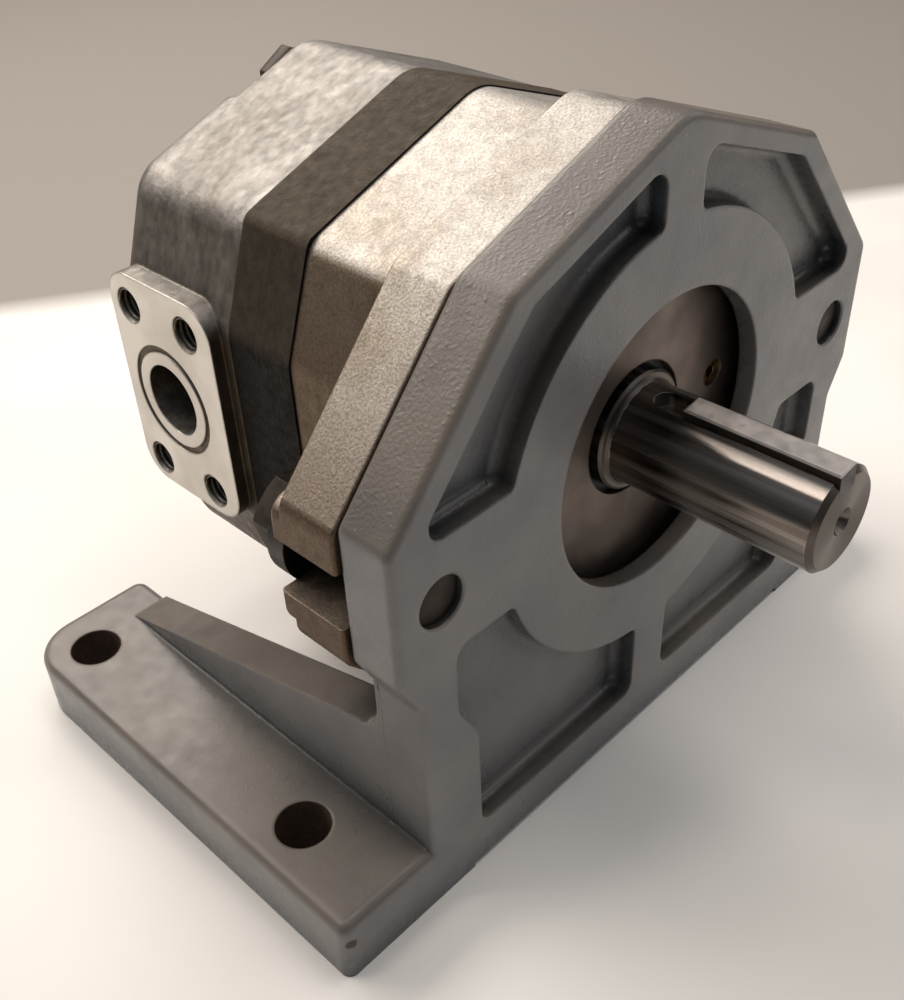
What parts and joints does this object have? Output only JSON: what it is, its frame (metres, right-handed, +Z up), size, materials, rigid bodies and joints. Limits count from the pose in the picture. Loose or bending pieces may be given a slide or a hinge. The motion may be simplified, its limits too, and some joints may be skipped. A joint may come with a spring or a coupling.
{
  "type": "internal gear pump",
  "caption": "Internal gear pump with a keyed shaft, a slotted mounting flange, a black iron gear housing and side ports, bolted to a cast foot bracket with ribbed feet.",
  "frame": {"origin": "centre of the foot-hole pattern, in the plane of the sole", "axes": "+Z up, +Y from the shaft end to the rear cover, +X to the right seen from the shaft end"},
  "size_m": [0.2168, 0.1781, 0.1661],
  "materials": {
    "bracket_paint": "grey paint on cast iron, orange-peel surface",
    "flange_aluminium": "sand-cast aluminium, coarse grain",
    "cover_aluminium": "die-cast aluminium, fine blotchy skin",
    "housing_iron": "dark phosphated iron, matte",
    "black_steel": "black oxide screws",
    "zinc_steel": "plain steel washers",
    "ground_steel": "ground and hardened",
    "shaft_steel": "ground shaft, bright",
    "key_steel": "drawn key steel",
    "gear_steel": "hardened and ground teeth",
    "crescent_bronze": "bronze, machined",
    "plate_bronze": "bronze, lapped",
    "bush_bronze": "rolled bronze-backed bush",
    "spring_steel": "blued spring steel",
    "seal_rubber": "nitrile rubber",
    "plug_brass": "turned brass"
  },
  "bodies": {
    "pump": {"foot_bracket": "bracket_paint", "front_flange": "flange_aluminium", "gear_housing": "housing_iron", "rear_cover": "cover_aluminium", "mounting_bolts": "black_steel", "mounting_washers": "zinc_steel", "clamp_screws": "black_steel", "dowel_pins": "ground_steel", "crescent_carrier": "crescent_bronze", "crescent_segment": "crescent_bronze", "crescent_springs": "spring_steel", "crescent_rollers": "ground_steel", "crescent_stop_pin": "ground_steel", "front_side_plate": "plate_bronze", "rear_side_plate": "plate_bronze", "front_field_seal": "seal_rubber", "rear_field_seal": "seal_rubber", "front_bush": "bush_bronze", "rear_bush": "bush_bronze", "shaft_seal": "seal_rubber", "seal_circlip": "spring_steel", "front_housing_seal": "seal_rubber", "rear_housing_seal": "seal_rubber", "drain_plug": "plug_brass"},
    "drive_shaft": {"pinion_shaft": "shaft_steel", "shaft_key": "key_steel"},
    "ring_gear": {"ring_gear": "gear_steel"}
  },
  "joints": [
    {"name": "shaft_spin", "type": "hinge", "parent": "pump", "child": "drive_shaft", "pos_m": [0, 0, 0.0905], "axis": [0, 1, 0], "continuous": true},
    {"name": "ring_gear_spin", "type": "hinge", "parent": "pump", "child": "ring_gear", "pos_m": [0, 0, 0.0815], "axis": [0, 1, 0], "continuous": true}
  ],
  "couplings": [
    {"joint": "ring_gear_spin", "follows": "shaft_spin", "ratio": 0.68421}
  ]
}
